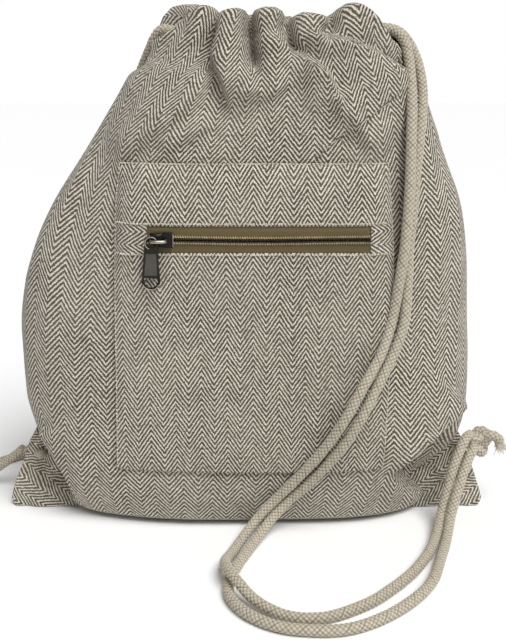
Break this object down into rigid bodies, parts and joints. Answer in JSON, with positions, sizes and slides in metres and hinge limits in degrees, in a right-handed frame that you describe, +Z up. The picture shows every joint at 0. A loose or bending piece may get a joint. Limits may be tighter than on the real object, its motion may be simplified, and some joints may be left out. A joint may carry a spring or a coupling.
{
  "type": "drawstring backpack",
  "caption": "Drawstring backpack of herringbone cotton with a gathered mouth, zipped front pocket and braided shoulder cords.",
  "frame": {"origin": "on the floor, under the middle of the bag's width and depth", "axes": "+Z up towards the gathered mouth, front pocket towards -Y, +X to the right as seen from the front"},
  "size_m": [0.4249, 0.4048, 0.3652],
  "materials": {
    "herringbone_cotton": "herringbone twill of cream and taupe cotton",
    "cotton_cord": "braided undyed cotton, slightly fuzzy",
    "zip_tape": "olive brown woven tape",
    "zip_coil": "dark nylon coil",
    "gunmetal": "antique dark plated zinc"
  },
  "bodies": {
    "root": {"front_panel": "herringbone_cotton", "back_panel": "herringbone_cotton", "front_casing": "herringbone_cotton", "back_casing": "herringbone_cotton", "left_corner": "herringbone_cotton", "right_corner": "herringbone_cotton", "pocket_upper_panel": "herringbone_cotton", "pocket_lower_panel": "herringbone_cotton", "pocket_left_tab": "herringbone_cotton", "pocket_right_tab": "herringbone_cotton", "right_cord_in_casing": "cotton_cord", "left_cord_in_casing": "cotton_cord", "right_strand_front": "cotton_cord", "right_strand_rear": "cotton_cord", "left_strand_front": "cotton_cord", "left_strand_rear": "cotton_cord", "right_knot": "cotton_cord", "left_knot": "cotton_cord", "zip_tape_upper": "zip_tape", "zip_tape_lower": "zip_tape", "zip_coil_upper": "zip_coil", "zip_coil_lower": "zip_coil"},
    "zip_slider": {"zip_slider": "gunmetal"},
    "zip_puller": {"zip_puller": "gunmetal"}
  },
  "joints": [
    {"name": "slider_slide", "type": "slide", "parent": "root", "child": "zip_slider", "axis": [1, 0, 0], "range_m": [0, 0.131]},
    {"name": "puller_swing", "type": "hinge", "parent": "zip_slider", "child": "zip_puller", "pos_m": [-0.0626, -0.06525, 0.217], "axis": [0, 1, 0], "range_deg": [-50, 100]}
  ]
}
